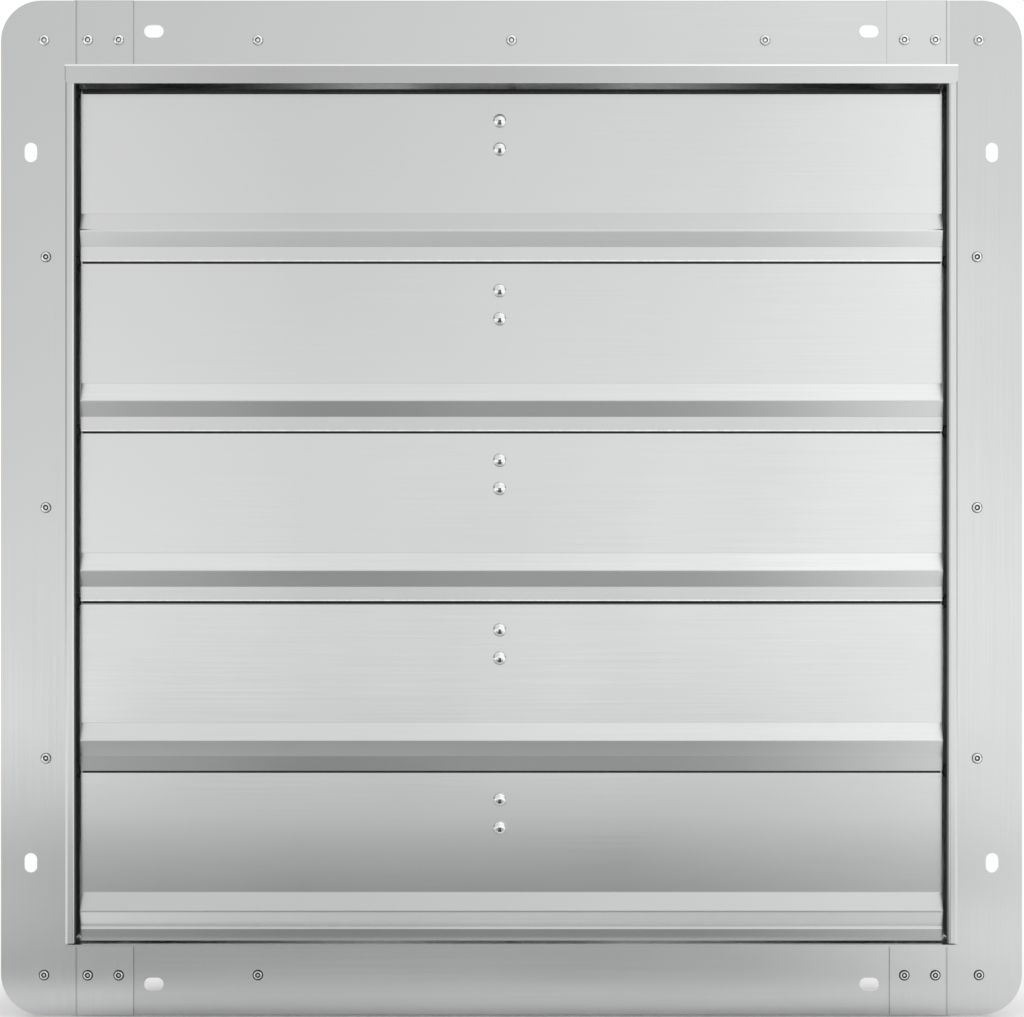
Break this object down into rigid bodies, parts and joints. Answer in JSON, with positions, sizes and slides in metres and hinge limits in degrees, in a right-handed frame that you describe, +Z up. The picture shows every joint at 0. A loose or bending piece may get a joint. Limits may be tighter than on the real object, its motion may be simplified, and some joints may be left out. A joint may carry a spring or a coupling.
{
  "type": "wall exhaust fan",
  "caption": "Square sheet-aluminium wall exhaust fan with gravity louvres in front, a slotted wall flange, and a guarded motor-driven propeller in a bell-mouth panel behind.",
  "frame": {"origin": "centre of the wall slots, on the plane where the flange meets the wall", "axes": "+X to the right seen from the louvre side, +Y back through the wall towards the motor, +Z up"},
  "size_m": [0.6, 0.2414, 0.596],
  "materials": {
    "mill_aluminium": "satin mill-finish sheet",
    "bright_rivet": "bright drawn",
    "black_rod": "black oxide steel rod",
    "black_nylon": "moulded black nylon",
    "zinc_steel": "zinc plated",
    "bright_wire": "bright plated wire",
    "motor_paint": "dark satin paint",
    "core_steel": "laminated electrical steel",
    "copper": "enamelled copper wire, drawn as plain rings",
    "cast_hub": "die-cast",
    "capacitor_plastic": "moulded case"
  },
  "bodies": {
    "frame": {"left_jamb": "mill_aluminium", "right_jamb": "mill_aluminium", "top_rail": "mill_aluminium", "bottom_sill": "mill_aluminium", "housing_left": "mill_aluminium", "housing_right": "mill_aluminium", "housing_top": "mill_aluminium", "housing_bottom": "mill_aluminium", "venturi_panel": "mill_aluminium", "flange_rivets": "bright_rivet", "pivot_bushings": "black_nylon", "panel_screws": "zinc_steel", "motor_guard": "bright_wire", "guard_screws": "zinc_steel", "motor_plate": "zinc_steel", "motor_housing": "motor_paint", "motor_front_cover": "motor_paint", "motor_rear_cover": "motor_paint", "stator_core": "core_steel", "stator_windings": "copper", "front_bearing": "zinc_steel", "rear_bearing": "zinc_steel", "motor_bolts": "zinc_steel", "terminal_box": "motor_paint", "terminal_lid": "motor_paint", "lid_screws": "zinc_steel", "run_capacitor": "capacitor_plastic", "cable_gland": "black_nylon"},
    "louvre_1": {"louvre_blade_1": "mill_aluminium", "pivot_rod_1": "black_rod", "crank_bracket_1": "mill_aluminium", "louvre_rivets_1": "bright_rivet"},
    "louvre_2": {"louvre_blade_2": "mill_aluminium", "pivot_rod_2": "black_rod", "crank_bracket_2": "mill_aluminium", "louvre_rivets_2": "bright_rivet"},
    "louvre_3": {"louvre_blade_3": "mill_aluminium", "pivot_rod_3": "black_rod", "crank_bracket_3": "mill_aluminium", "louvre_rivets_3": "bright_rivet"},
    "louvre_4": {"louvre_blade_4": "mill_aluminium", "pivot_rod_4": "black_rod", "crank_bracket_4": "mill_aluminium", "louvre_rivets_4": "bright_rivet"},
    "louvre_5": {"louvre_blade_5": "mill_aluminium", "pivot_rod_5": "black_rod", "crank_bracket_5": "mill_aluminium", "louvre_rivets_5": "bright_rivet"},
    "link": {"tie_bar": "mill_aluminium"},
    "rotor": {"motor_shaft": "zinc_steel", "rotor_core": "core_steel", "fan_hub": "cast_hub", "hub_set_screw": "zinc_steel", "fan_spider": "zinc_steel", "fan_blade_1": "mill_aluminium", "fan_blade_2": "mill_aluminium", "fan_blade_3": "mill_aluminium", "fan_blade_4": "mill_aluminium", "rotor_rivets": "bright_rivet"}
  },
  "joints": [
    {"name": "louvre_1_hinge", "type": "hinge", "parent": "frame", "child": "louvre_1", "pos_m": [0, -0.025, 0.2404], "axis": [-1, 0, 0], "range_deg": [0, 75]},
    {"name": "louvre_2_hinge", "type": "hinge", "parent": "frame", "child": "louvre_2", "pos_m": [0, -0.025, 0.14196], "axis": [-1, 0, 0], "range_deg": [0, 75]},
    {"name": "louvre_3_hinge", "type": "hinge", "parent": "frame", "child": "louvre_3", "pos_m": [0, -0.025, 0.04352], "axis": [-1, 0, 0], "range_deg": [0, 75]},
    {"name": "louvre_4_hinge", "type": "hinge", "parent": "frame", "child": "louvre_4", "pos_m": [0, -0.025, -0.05492], "axis": [-1, 0, 0], "range_deg": [0, 75]},
    {"name": "louvre_5_hinge", "type": "hinge", "parent": "frame", "child": "louvre_5", "pos_m": [0, -0.025, -0.15336], "axis": [-1, 0, 0], "range_deg": [0, 75]},
    {"name": "link_hinge", "type": "hinge", "parent": "louvre_1", "child": "link", "pos_m": [0.0015, 0.003, 0.2434], "axis": [-1, 0, 0], "range_deg": [-75, 0]},
    {"name": "fan_spin", "type": "hinge", "parent": "frame", "child": "rotor", "pos_m": [0, 0, 0], "axis": [0, 1, 0], "continuous": true}
  ],
  "couplings": [
    {"joint": "louvre_2_hinge", "follows": "louvre_1_hinge", "ratio": 1},
    {"joint": "louvre_3_hinge", "follows": "louvre_1_hinge", "ratio": 1},
    {"joint": "louvre_4_hinge", "follows": "louvre_1_hinge", "ratio": 1},
    {"joint": "louvre_5_hinge", "follows": "louvre_1_hinge", "ratio": 1},
    {"joint": "link_hinge", "follows": "louvre_1_hinge", "ratio": -1}
  ]
}
